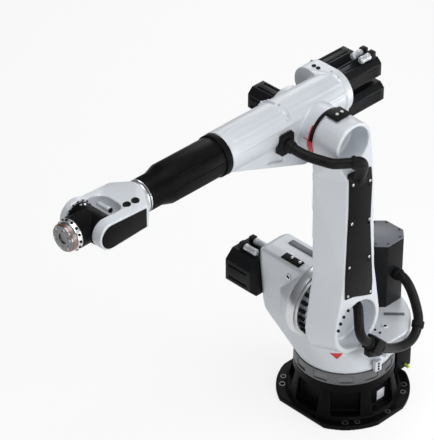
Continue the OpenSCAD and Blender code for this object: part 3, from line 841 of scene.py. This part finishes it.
class RobotStage(bpy.types.Operator):
    """Makes the studio: floor, soft lights and the camera at the photograph's view."""

    bl_idname = "robot.stage"
    bl_label = "Studio"

    def execute(self, context):
        self.camera(context)
        self.floor()
        self.lights(context)
        return {"FINISHED"}

    def camera(self, context):
        """The camera at the photograph's view."""
        data = bpy.data.cameras.new("photo_camera")
        data.sensor_width = CAMERA_SENSOR
        data.lens = CAMERA_LENS
        data.clip_end = CAMERA_REACH
        camera = bpy.data.objects.new("photo_camera", data)
        camera.location = CAMERA_AT
        camera.rotation_mode = "QUATERNION"
        camera.rotation_quaternion = (-CAMERA_BACK).to_track_quat("-Z", "Y")
        context.scene.collection.objects.link(camera)
        context.scene.camera = camera

    def floor(self):
        """A pale paper floor that looks white to the camera and in reflections, and keeps shadows."""
        floor = begin("studio_floor", bpy.ops.mesh.primitive_plane_add, size=sizes().floor)
        material, tree = blank("studio_floor_paper")
        rays = add(tree, "ShaderNodeLightPath", {})
        seen = add(
            tree, "ShaderNodeMath", {"operation": "MAXIMUM"},
            {0: rays.outputs["Is Camera Ray"], 1: rays.outputs["Is Glossy Ray"]},
        )
        share = add(
            tree, "ShaderNodeMath", {"operation": "MULTIPLY", 1: FLOOR_WHITE}, {0: seen.outputs["Value"]}
        )
        paper = add(tree, "ShaderNodeBsdfDiffuse", {"Color": colours().floor[:]})
        glow = add(tree, "ShaderNodeEmission", {"Color": (1, 1, 1, 1), "Strength": 1.0})
        mixed = add(
            tree, "ShaderNodeMixShader", {},
            {0: share.outputs["Value"], 1: paper.outputs["BSDF"], 2: glow.outputs["Emission"]},
        )
        add(tree, "ShaderNodeOutputMaterial", {}, {"Surface": mixed.outputs["Shader"]})
        floor.data.materials.append(material)

    def lights(self, context):
        """The studio's air, brighter on one side, and its lamps."""
        world = bpy.data.worlds.new("studio_air")
        world.use_nodes = True
        tree = world.node_tree
        background = tree.nodes["Background"]
        background.inputs["Color"].default_value = linear("#F2F4F7")
        direction = add(tree, "ShaderNodeTexCoord", {}).outputs["Generated"]
        toward = add(
            tree, "ShaderNodeVectorMath", {"operation": "DOT_PRODUCT", 1: BRIGHT_SIDE}, {0: direction}
        )
        level = add(
            tree, "ShaderNodeMapRange", {"From Min": -1.0, "To Max": BRIGHT_LEVEL},
            {"Value": toward.outputs["Value"]},
        )
        tree.links.new(level.outputs["Result"], background.inputs["Strength"])
        context.scene.world = world
        context.scene.view_settings.view_transform = "Standard"
        for name, place, aim, width, power in LAMPS:
            data = bpy.data.lights.new(name, "AREA")
            data.size = width
            data.energy = power
            light = bpy.data.objects.new(name, data)
            light.location = place
            light.rotation_mode = "QUATERNION"
            light.rotation_quaternion = (Vector(aim) - light.location).to_track_quat("-Z", "Y")
            context.scene.collection.objects.link(light)


class RobotHoses(bpy.types.Operator):
    """Makes the hoses, the bent pipe and their sleeves."""

    bl_idname = "robot.hoses"
    bl_label = "Hoses"

    def execute(self, context):
        self.hoses()
        self.elbow()
        self.cuffs()
        return {"FINISHED"}

    def hoses(self):
        """The three hoses, of which two run between two bodies and are attached to neither."""
        radius = sizes().hose / 2
        for name, route, bodies, node in (
            ("upper_hose_jacket", UPPER_ROUTE, ("upper_arm", "lower_arm"), "upper_hose"),
            ("lower_hose_jacket", LOWER_ROUTE, ("lower_arm", "turntable"), "lower_hose"),
            ("turntable_hose_jacket", TURNTABLE_ROUTE, ("turntable",), "turntable_hose"),
        ):
            points = curve_points(route)
            hose = tube(name, points, radius)
            hose.data.materials.append(finish_of("rubber"))
            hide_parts(node)
            if len(bodies) == 2:
                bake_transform(hose)
            else:
                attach(hose, bodies[0])

    def elbow(self):
        """The bent pipe on the lower arm, with its foot and rim."""
        points = curve_points(ELBOW_ROUTE)
        pipe = tube("elbow_pipe", points, sizes().hose / 2 + ELBOW_WALL * MM)
        foot = block("elbow_foot", ELBOW_FOOT, point(*ELBOW_FOOT_AT), edge=5)
        rim = sleeve("elbow_rim", points, middle=10, long=16, radius=34)
        settle(join("hose_elbow_pipe", [pipe, foot, rim]), "plastic", "lower_arm", "hose_elbow")

    def cuffs(self):
        """The sleeves where the hoses meet the bracket, the clamp, their support and the motor."""
        upper, lower, back = (curve_points(route) for route in (UPPER_ROUTE, LOWER_ROUTE, TURNTABLE_ROUTE))
        cuff = sleeve("upper_hose_cuff", upper, middle=22, long=36, radius=33, end_radius=29)
        settle(cuff, "plastic", "upper_arm")
        cuffs = [
            sleeve("clamp_cuff_front", lower[::-1], middle=52, long=16, radius=30),
            sleeve("clamp_cuff_rear", back, middle=54, long=16, radius=30),
            sleeve("support_ring", back, middle=run(back) / MM * SUPPORT_SHARE, long=34, radius=32),
            sleeve("motor_cuff", back[::-1], middle=16, long=28, radius=32),
        ]
        settle(join("turntable_hose_cuffs", cuffs), "plastic", "turntable")


class RobotCastings(bpy.types.Operator):
    """Rounds the big castings."""

    bl_idname = "robot.castings"
    bl_label = "Castings"

    def execute(self, context):
        grain, fine = sizes().casting_grain, sizes().fine_grain
        for node, finish, body, cell, passes in (
            ("base_casting", "black_cast", "base", grain, 4),
            ("turntable_casting", "silver_paint", "turntable", grain, 8),
            ("lower_arm_casting", "silver_paint", "lower_arm", grain, 8),
            ("upper_arm_casting", "silver_paint", "upper_arm", 0.72 * grain, 3),
            ("wrist_fork", "silver_paint", "wrist", fine, 14),
            ("wrist_body", "black_cast", "hand", 0.7 * fine, 14),
        ):
            settle(cast(node, node + "_rounded", cell, passes), finish, body, node)
        return {"FINISHED"}


class RobotEdges(bpy.types.Operator):
    """Bevels the motors, covers, plates and machined pieces."""

    bl_idname = "robot.edges"
    bl_label = "Motors, covers and plates"

    def execute(self, context):
        edge = sizes().edge
        for node, finish, body, width in (
            ("connector_box", "black_cast", "base", 2 * edge),
            ("earth_stud", "earth", "base", 0.5 * edge),
            ("slew_ring", "slew_steel", "turntable", 0.7 * edge),
            ("axis1_motor", "motor_black", "turntable", edge),
            ("axis1_motor_lid", "grey_lid", "turntable", edge),
            ("axis2_motor", "motor_black", "turntable", edge),
            ("axis2_gear", "gear_steel", "turntable", edge),
            ("tower_hatch", "black_cast", "turntable", 0.7 * edge),
            ("tower_top_plate", "grey_lid", "turntable", edge),
            ("turntable_clamp", "plastic", "turntable", edge),
            ("stop_block", "silver_paint", "turntable", edge),
            ("lower_arm_cover", "black_cast", "lower_arm", edge),
            ("axis3_stop", "black_cast", "lower_arm", edge),
            ("forearm_tube", "black_cast", "upper_arm", 0.5 * edge),
            ("forearm_collar", "black_cast", "upper_arm", edge),
            ("axis3_motor", "motor_black", "upper_arm", edge),
            ("axis4_motor", "motor_black", "upper_arm", edge),
            ("axis5_motor", "motor_black", "upper_arm", edge),
            ("axis6_motor", "motor_black", "upper_arm", edge),
            ("hose_bracket", "plastic", "upper_arm", edge),
            ("axis3_seal", "rubber", "upper_arm", edge),
            ("axis3_mark", "red", "upper_arm", 0.5 * edge),
            ("wrist_ring", "wrist_steel", "wrist", edge),
            ("fork_cover", "black_cast", "wrist", 0.7 * edge),
            ("far_cheek_cap", "silver_paint", "wrist", edge),
            ("wrist_band", "wrist_steel", "hand", edge),
            ("tool_flange", "flange_steel", "flange", 0.5 * edge),
        ):
            settle(edged(node, node + "_edged", width), finish, body, node)
        return {"FINISHED"}


class RobotPlugs(bpy.types.Operator):
    """Makes the motors' cable plugs."""

    bl_idname = "robot.plugs"
    bl_label = "Motor plugs"

    def execute(self, context):
        axis2_top, rear_top = (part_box(node)[0][2] / MM for node in ("axis2_motor_plugs", "rear_motor_plugs"))
        axis2_feet = [
            point(AXIS2[0] + side * AXIS2_PLUG_GAP / 2, TOWER_BACK_Y - AXIS2_PLUG_BACK, axis2_top)
            for side in (-1, 1)
        ]
        rear_feet = [
            point(FLANGE_X - REAR_PLUG_BACK, REAR_PLUG_Y + side * REAR_PLUG_GAP / 2, rear_top)
            for side in (1, -1)
        ]
        self.pair("axis2_motor", axis2_feet, Y, AXIS2_PLUG_REACH, "turntable")
        self.pair("rear_motor", rear_feet, X, REAR_PLUG_REACH, "upper_arm")
        return {"FINISHED"}

    def pair(self, name, feet, along, reach, body):
        """Two plugs: a black socket on the motor, and a pale shell with grip rings along the cable's way."""
        profile = [
            (14, 13), (18, 18), (34, 18), (36, 16), (40, 16), (42, 17),
            (reach - 24, 17), (reach - 22, 18), (reach - 8, 18), (reach - 4, 15), (reach, 10),
        ]
        sockets, shells = [], []
        for i, foot in enumerate(feet):
            sockets.append(block(f"{name}_socket_{i}", PLUG_SOCKET, foot, edge=4))
            shells.append(turned(f"{name}_shell_{i}", profile, foot + PLUG_AXIS * MM * Z, along, facets=24))
        settle(join(name + "_sockets", sockets), "plastic", body, name + "_plugs")
        settle(join(name + "_plug_shells", shells), "zinc", body)


class RobotScrews(bpy.types.Operator):
    """Makes the screws that show."""

    bl_idname = "robot.screws"
    bl_label = "Screws"

    def execute(self, context):
        self.arm_screws()
        self.motor_screws()
        self.flange_screws()
        return {"FINISHED"}

    def arm_screws(self):
        """The screws of the axis 2 gear, the lower arm's cover and hub, and the stop at axis 3."""
        size = sizes()
        gear = ring_spots(point(AXIS2[0], GEAR_FACE_Y, AXIS2[1]), Y, GEAR_SCREW_R, size.gear_screws)
        fasten(
            "gear_screws", gear, "black_screw", "turntable", radius=size.gear_screw / MM, height=28,
            socket=0.55,
        )
        cover = [(point(x, COVER_FACE_Y, z), Y) for x, z in COVER_SCREWS]
        fasten("cover_screws", cover, "nickel", "lower_arm", radius=size.cover_screw / MM, height=5)
        hub = []
        for angle in (math.radians(degrees) for degrees in HUB_SCREW_DEGREES):
            x, z = AXIS2[0] + HUB_SCREW_R * math.cos(angle), AXIS2[1] + HUB_SCREW_R * math.sin(angle)
            hub.append((point(x, ARM_FACE_Y, z), Y))
        fasten("hub_screws", hub, "black_screw", "lower_arm", radius=7.5, height=7)
        pins = [(at - COVER_PIN_DROP * MM * Z, along) for at, along in cover[:COVER_PINS]]
        fasten("cover_pins", pins, "black_screw", "lower_arm", radius=4.5, height=3)
        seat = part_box("axis3_stop")[1][2] / MM - STOP_SCREW_SUNK
        stop = [(point(AXIS3[0] + x, STOP_SCREW_Y, seat), Z) for x in STOP_SCREW_X]
        fasten("stop_screws", stop, "nickel", "lower_arm", radius=8, height=8)

    def motor_screws(self):
        """The screws at the motors' free ends and on the tower's hatch."""
        for node, body in (
            ("axis2_motor", "turntable"), ("axis3_motor", "upper_arm"), ("axis4_motor", "upper_arm"),
            ("axis5_motor", "upper_arm"), ("axis6_motor", "upper_arm"),
        ):
            fasten(node + "_screws", self.corners(node), "black_screw", body, radius=6, height=6)
        hatch = down_onto("tower_hatch_edged", HATCH_SCREWS)
        fasten("hatch_screws", hatch, "nickel", "turntable", radius=8.5, height=4)

    def flange_screws(self):
        """The screws of the rear flange, the far cheek's cap, the tool flange and the axis 1 motor's lid."""
        rear = [(point(FLANGE_X + REAR_SCREW_SUNK, y, z), -X) for y, z in REAR_SCREWS]
        fasten("flange_screws", rear, "black_screw", "upper_arm", radius=7, height=8)
        cheek = ring_spots(point(AXIS5_X, CHEEK_CAP_Y, FOREARM_Z), -Y, CHEEK_SCREW_R, count=8)
        fasten("cheek_screws", cheek, "black_screw", "wrist", radius=5, height=4)
        face = point(TOOL_X - TOOL_SCREW_SUNK, 0, FOREARM_Z)
        tool = ring_spots(face, X, TOOL_SCREW_R, count=6, start=math.radians(30))
        fasten("flange_face_screws", tool, "nickel", "flange", radius=5, height=2, socket=0.55)
        far, near = LID_SCREW_FAR, LID_SCREW_NEAR
        places = [(x, y) for x in (far, -far) for y in (near, -near)]
        places += [(x, y) for y in (far, -far) for x in (near, -near)]
        lid = [(point(MOTOR1_X + x, y, MOTOR1_TOP), Z) for x, y in places]
        fasten("lid_screws", lid, "black_screw", "turntable", radius=4.5, height=3)

    def corners(self, node):
        """Spots at the corners of a motor's free end."""
        low, high = (Vector(corner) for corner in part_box(node))
        middle, reach = (low + high) / 2, CORNER_SHARE * (high - low) / 2
        signs = [(a, b) for a in (-1, 1) for b in (-1, 1)]
        if high.x < (FLANGE_X + HAIR) * MM:
            return [(Vector((low.x, middle.y + a * reach.y, middle.z + b * reach.z)), -X) for a, b in signs]
        return [(Vector((middle.x + a * reach.x, low.y, middle.z + b * reach.z)), -Y) for a, b in signs]


class RobotDetails(bpy.types.Operator):
    """Makes the marks, bare plates, eyelet, pins and round plugs."""

    bl_idname = "robot.details"
    bl_label = "Marks and small details"

    def execute(self, context):
        self.wrist_rings()
        self.wrist()
        self.turntable()
        self.pointer()
        self.platform()
        self.base()
        self.connectors()
        self.upper_arm()
        self.axis3_label()
        return {"FINISHED"}

    def wrist_rings(self):
        """The copper ring at the tool flange, and a black band round the bright ring behind the fork: painted
        shade for a dark gap between two bright rings.
        """
        copper = turned(
            "copper_ring", [(0, 63.5), (0, 67), (5, 66.4), (5, 63.5)],
            point(TOOL_X - COPPER_BACK, 0, FOREARM_Z), X, bore=True, edge=0.4,
        )
        settle(copper, "copper", "flange")
        # Painted shade: a black band on the bright ring, standing in for the shade of a gap between two bright
        # rings
        shade_band = turned(
            "wrist_ring_painted_shade_band", [(0, 78), (0, 80.4), (5, 80.4), (5, 78)],
            point(WRIST_X + SHADE_BAND_FRONT, 0, FOREARM_Z), X, bore=True, edge=0.2,
        )
        settle(shade_band, "black_screw", "wrist")

    def wrist(self):
        """The fork's round plugs, the pin in its throat, and the screws on the wrist."""
        plug = [(-3, 19), (2, 19), (3.5, 17), (3.5, 11), (1, 9)]
        plugs = [
            turned(f"fork_plug_{i}", plug, *spot)
            for i, spot in enumerate(down_onto("wrist_fork_rounded", FORK_PLUGS))
        ]
        settle(join("fork_plugs", plugs), "plastic", "wrist")
        root = point(*THROAT_PIN)
        pin = turned("throat_pin", [(0, 12), (60, 12), (62, 14), (THROAT_PIN_LONG, 14)], root, Y, facets=32)
        settle(pin, "silver_paint", "wrist")
        end = root + THROAT_PIN_LONG * MM * Y
        tip = turned("throat_pin_tip", [(0, 12), (5, 12), (6, 10), (6, 6), (3, 5)], end, Y, facets=32)
        settle(tip, "plastic", "wrist")
        rim = ring_spots(point(AXIS5_X, FAR_RIM_Y, FOREARM_Z), Y, FAR_RIM_R, count=16)
        fasten("far_rim_screws", rim, "black_screw", "wrist", radius=4, height=3)
        low, high = (Vector(corner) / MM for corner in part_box("wrist_band"))
        middle, seat_r = point((low.x + high.x) / 2, 0, FOREARM_Z), (high.z - low.z) / 2 - BAND_SOCKET_SUNK
        sockets = []
        for angle in (math.tau * i / BAND_SOCKETS for i in range(BAND_SOCKETS)):
            out = Vector((0, math.cos(angle), math.sin(angle)))
            sockets.append((middle + out * seat_r * MM, out))
        fasten("band_sockets", sockets, "black_screw", "hand", radius=6.5, height=2.4, socket=0.62)
        top = down_onto("wrist_body_rounded", WRIST_BODY_SCREWS)
        fasten("wrist_body_screws", top, "nickel", "hand", radius=5.5, height=6)

    def turntable(self):
        """The eyelet on the tower's front and the bar on the rear platform."""
        at = point(TOWER_X, *EYELET)
        eyelet = [(-2, 10), (-2, 17), (4, 17), (6, 15), (6, 11), (3, 10)]
        settle(turned("tower_eyelet", eyelet, at, X, bore=True), "nickel", "turntable")
        pin = [(-2, 9.5), (2, 9.5), (3, 8), (3, 4), (0, 3.5)]
        settle(turned("eyelet_pin", pin, at, X, facets=32), "black_screw", "turntable")
        bar = block("platform_plate", BAR_SIZE, point(*PLATFORM_BAR, PLATFORM_Z), spin=BAR_TURN, edge=0.8)
        settle(bar, "grey_lid", "turntable")

    def pointer(self):
        """A red triangle painted on the dome's front, point down."""
        casting = bpy.data.objects["turntable_casting_rounded"]
        corners = []
        for start in POINTER:
            place, _ = on_surface(casting, start, (point(*start) - CAMERA_AT).normalized())
            corners.append(place + POINTER_START * MM * CAMERA_BACK)
        settle(wrapped("zero_pointer", casting, corners, lift=0.4), "red", "turntable")

    def platform(self):
        """The boss and the screws on the rear platform, and the screws of the stop block."""
        profile = [(0, 8), (0, 17), (4, 17), (5, 15), (5, 10), (2, 8)]
        boss = turned("platform_boss", profile, point(*PLATFORM_BOSS, PLATFORM_Z), Z, bore=True)
        settle(boss, "silver_paint", "turntable")
        spots = [(point(x, y, PLATFORM_Z), Z) for x, y in PLATFORM_SCREWS]
        fasten("platform_screws", spots, "black_screw", "turntable", radius=6, height=5)
        low, high = (Vector(corner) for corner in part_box("stop_block"))
        out = Vector((math.cos(STOP_ANGLE), math.sin(STOP_ANGLE), 0))
        face = out * STOP_FACE_R * MM
        holes = [(face + (low.z + (high.z - low.z) * share) * Z, out) for share in STOP_BLOCK_SCREWS]
        fasten("stop_block_screws", holes, "black_screw", "turntable", radius=6, height=2, socket=0.6)

    def base(self):
        """The bare plate with its rivets, and the turned seats in the base plate's holes."""
        x, z = BLANK_PLATE
        plate = block("base_plate_blank", BLANK_SIZE, point(x, BASE_POCKET_R, z), Y, edge=0.8)
        settle(plate, "bare_plate", "base")
        across, up = BLANK_RIVETS
        rivets = [
            (point(x + a * across, BASE_POCKET_R + BLANK_SIZE[2], z + b * up), Y)
            for a in (-1, 1) for b in (-1, 1)
        ]
        fasten("base_plate_rivets", rivets, "nickel", "base", radius=2.4, height=1.5, socket=0.3)
        holes = [(45 + 90 * i, ANCHOR_HOLE_R) for i in range(4)]
        holes += [(side + s * (45 - ANCHOR_SPLIT), SPARE_HOLE_R) for side in (90, 270) for s in (-1, 0, 1)]
        seats = []
        for degrees, hole in holes:
            angle = math.radians(degrees)
            at = point(ANCHOR_R * math.cos(angle), ANCHOR_R * math.sin(angle), BASE_TOP)
            profile = [(-20, hole + 0.4), (-20, hole + 2), (0.6, hole + 7), (0.6, hole + 0.4)]
            seats.append(turned(f"anchor_seat_{degrees:.0f}", profile, at, Z, bore=True, facets=32, edge=0.3))
        settle(join("anchor_seats", seats), "slew_steel", "base")

    def connectors(self):
        """Three plugs on the connector box, each with two bright rings."""
        low, high = (Vector(corner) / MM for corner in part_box("connector_box"))
        pieces, rings = [], []
        for s in (-1, 0, 1):
            at = point(low.x + CONNECTOR_SUNK, s * (high.y - low.y) / 3, CONNECTOR_Z)
            pieces.append(block(f"connector_{s + 1}", CONNECTOR, at, -X, edge=2))
            face = at - CONNECTOR[2] * MM * X
            rings += [(face + side * CONNECTOR_RING * MM * Z, -X) for side in (-1, 1)]
        settle(join("base_connectors", pieces), "plastic", "base")
        fasten("base_connector_rings", rings, "nickel", "base", radius=10, height=8, socket=0.7)

    def upper_arm(self):
        """The screws on the hose bracket and the bands, and the plugs on the bulge."""
        high = Vector(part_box("hose_bracket")[1]) / MM
        first = Vector((high.x - BRACKET_SCREW_BACK, high.y - BRACKET_SCREW_IN, high.z))
        bracket = [(point(*first + BRACKET_SCREW_PITCH * i * X), Z) for i in range(4)]
        fasten("bracket_screws", bracket, "black_screw", "upper_arm", radius=7.5, height=7, socket=0.55)
        bands = down_onto("upper_arm_casting_rounded", BAND_SCREWS)
        fasten("rib_screws", bands, "nickel", "upper_arm", radius=5, height=4)
        plug = [(-3, 11), (3, 11), (5, 9), (5, 5), (2, 4)]
        plugs = [
            turned(f"bulge_plug_{i}", plug, *spot, facets=28)
            for i, spot in enumerate(down_onto("upper_arm_casting_rounded", BULGE_PLUGS))
        ]
        settle(join("bulge_plugs", plugs), "plastic", "upper_arm")

    def axis3_label(self):
        """A bare label on the boss of axis 3, with a red edge that shows beside and below it."""
        casting = bpy.data.objects["upper_arm_casting_rounded"]
        for name, finish, low, high, inner, outer, lift in (
            ("axis3_label_edge", "red", 4, 40, 130, 165, 0.4),
            ("axis3_label", "bare_plate", 7, 40, 130, 158, 1.4),
        ):
            places = ((low, inner), (low, outer), (high, outer), (high, inner))
            corners = [self.boss_spot(casting, degrees, y) for degrees, y in places]
            settle(wrapped(name, casting, corners, lift), finish, "upper_arm")

    def boss_spot(self, casting, degrees, y):
        """A place just outside the boss of axis 3, at an angle above the forward direction."""
        out = Vector((math.cos(math.radians(degrees)), 0, math.sin(math.radians(degrees))))
        middle = Vector((AXIS3[0], y, AXIS3[1]))
        place, _ = on_surface(casting, middle + BOSS_OUTSIDE * out, -out)
        return place + LABEL_START * MM * out


class RobotPanel(bpy.types.Panel):
    """Lists the robot arm's operators in the 3D view's sidebar."""

    bl_idname = "VIEW3D_PT_robot_arm"
    bl_label = "Robot Arm"
    bl_space_type = "VIEW_3D"
    bl_region_type = "UI"
    bl_category = "Robot Arm"

    def draw(self, context):
        """Draws one button for each operator."""
        for operator in OPERATORS:
            self.layout.operator(operator.bl_idname)


OPERATORS = (RobotStage, RobotHoses, RobotCastings, RobotEdges, RobotPlugs, RobotScrews, RobotDetails)
CLASSES = (RobotColours, RobotSizes, *OPERATORS, RobotPanel)


def register():
    """Registers the classes and gives the scene its colours and sizes."""
    for cls in CLASSES:
        bpy.utils.register_class(cls)
    bpy.types.Scene.robot_colours = PointerProperty(type=RobotColours)
    bpy.types.Scene.robot_sizes = PointerProperty(type=RobotSizes)


def unregister():
    """Takes the classes and the scene's colours and sizes away again."""
    del bpy.types.Scene.robot_sizes
    del bpy.types.Scene.robot_colours
    for cls in reversed(CLASSES):
        bpy.utils.unregister_class(cls)


def main():
    """Builds the robot arm and its studio."""
    register()
    bpy.ops.robot.stage()
    bpy.ops.robot.hoses()
    bpy.ops.robot.castings()
    bpy.ops.robot.edges()
    bpy.ops.robot.plugs()
    bpy.ops.robot.screws()
    bpy.ops.robot.details()


if __name__ == "__main__":
    main()
